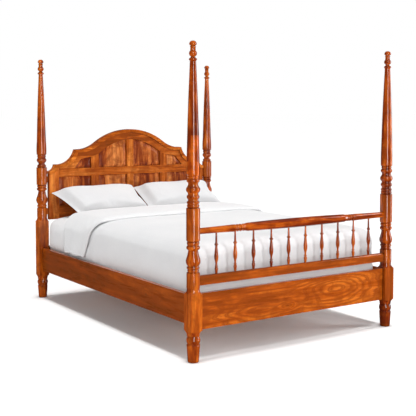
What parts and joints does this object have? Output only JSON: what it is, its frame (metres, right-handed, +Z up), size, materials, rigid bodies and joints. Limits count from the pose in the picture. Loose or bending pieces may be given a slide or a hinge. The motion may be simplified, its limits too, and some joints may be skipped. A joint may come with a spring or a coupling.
{
  "type": "miniature four poster bed",
  "caption": "Miniature wooden four poster bed with turned posts, an arched panelled headboard, a spindle footboard, slats, a mattress, a turned-down duvet and pillows.",
  "frame": {"origin": "on the floor, at the middle of the four posts", "axes": "+Z up, +Y along the bed towards the headboard, +X across the bed to the right as seen from the foot"},
  "size_m": [0.1458, 0.2007, 0.165],
  "materials": {
    "post_wood": "orange-brown stain under gloss lacquer",
    "rail_wood": "orange-brown stain under gloss lacquer",
    "headboard_wood": "orange-brown stain under gloss lacquer",
    "panel_wood": "orange-brown stain under gloss lacquer",
    "footboard_wood": "orange-brown stain under gloss lacquer",
    "slat_wood": "plain planed pine, unfinished",
    "mattress_cotton": "white fitted cotton sheet",
    "duvet_cotton": "white cotton duvet cover",
    "pillow_cotton": "white cotton pillowcase"
  },
  "bodies": {
    "frame": {"foot_rail": "rail_wood", "footboard_lower_rail": "footboard_wood", "footboard_top_rail": "footboard_wood", "head_rail": "rail_wood", "headboard_bottom_rail": "headboard_wood", "headboard_crest_moulding": "headboard_wood", "headboard_crest_rail": "headboard_wood", "headboard_lower_muntin_centre": "headboard_wood", "headboard_lower_muntin_left": "headboard_wood", "headboard_lower_muntin_right": "headboard_wood", "headboard_lower_panel_inner_left": "panel_wood", "headboard_lower_panel_inner_right": "panel_wood", "headboard_lower_panel_outer_left": "panel_wood", "headboard_lower_panel_outer_right": "panel_wood", "headboard_middle_rail": "headboard_wood", "headboard_stile_left": "headboard_wood", "headboard_stile_right": "headboard_wood", "headboard_upper_muntin_centre": "headboard_wood", "headboard_upper_muntin_left": "headboard_wood", "headboard_upper_muntin_right": "headboard_wood", "headboard_upper_panel_inner_left": "panel_wood", "headboard_upper_panel_inner_right": "panel_wood", "headboard_upper_panel_outer_left": "panel_wood", "headboard_upper_panel_outer_right": "panel_wood", "ledger_left": "slat_wood", "ledger_right": "slat_wood", "post_foot_left": "post_wood", "post_foot_right": "post_wood", "post_head_left": "post_wood", "post_head_right": "post_wood", "side_rail_left": "rail_wood", "side_rail_right": "rail_wood", "slat_1": "slat_wood", "slat_2": "slat_wood", "slat_3": "slat_wood", "slat_4": "slat_wood", "slat_5": "slat_wood", "slat_6": "slat_wood", "slat_7": "slat_wood", "slat_8": "slat_wood", "spindle_01": "footboard_wood", "spindle_02": "footboard_wood", "spindle_03": "footboard_wood", "spindle_04": "footboard_wood", "spindle_05": "footboard_wood", "spindle_06": "footboard_wood", "spindle_07": "footboard_wood", "spindle_08": "footboard_wood", "spindle_09": "footboard_wood", "spindle_10": "footboard_wood"},
    "mattress": {"mattress": "mattress_cotton"},
    "duvet": {"duvet": "duvet_cotton"},
    "pillow_left": {"pillow_left": "pillow_cotton"},
    "pillow_right": {"pillow_right": "pillow_cotton"}
  },
  "joints": [
    {"name": "mattress_lift", "type": "slide", "parent": "frame", "child": "mattress", "axis": [0, 0, 1], "range_m": [0, 0.14]},
    {"name": "duvet_lift", "type": "slide", "parent": "mattress", "child": "duvet", "axis": [0, 0, 1], "range_m": [0, 0.14]},
    {"name": "pillow_left_lift", "type": "slide", "parent": "mattress", "child": "pillow_left", "axis": [0, 0, 1], "range_m": [0, 0.115]},
    {"name": "pillow_right_lift", "type": "slide", "parent": "mattress", "child": "pillow_right", "axis": [0, 0, 1], "range_m": [0, 0.115]}
  ]
}
